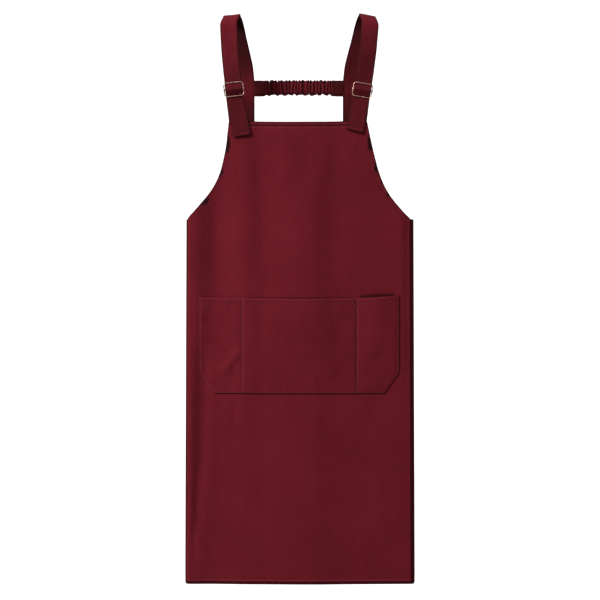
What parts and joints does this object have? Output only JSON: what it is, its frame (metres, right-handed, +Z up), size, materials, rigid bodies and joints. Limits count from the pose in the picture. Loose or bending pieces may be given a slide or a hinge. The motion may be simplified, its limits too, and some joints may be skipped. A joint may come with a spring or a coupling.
{
  "type": "kitchen apron",
  "caption": "Canvas bib apron with an undivided bib and skirt, a wide divided patch pocket, back panels, and shoulder straps joined by a gathered band and set by sliders.",
  "frame": {"origin": "on the shoulder line, midway between the two strap loops, at the height of the inner top of the loops, where they rest on what holds the apron up", "axes": "+Z up, the apron's front faces -Y, its width runs along X"},
  "size_m": [0.4161, 0.0669, 1.0323],
  "materials": {
    "canvas": "matte maroon cotton twill",
    "strap_canvas": "matte maroon cotton twill, folded and topstitched",
    "gathered_canvas": "matte maroon cotton twill, gathered over elastic",
    "plated_wire": "polished antique rose gold plate"
  },
  "bodies": {
    "root": {"front_panel": "canvas", "pocket": "canvas", "back_panel_left": "canvas", "back_panel_right": "canvas", "shoulder_strap_left": "strap_canvas", "shoulder_strap_right": "strap_canvas", "bib_tab_left": "strap_canvas", "bib_tab_right": "strap_canvas", "back_band": "gathered_canvas", "slider_left": "plated_wire", "slider_right": "plated_wire"}
  },
  "joints": []
}
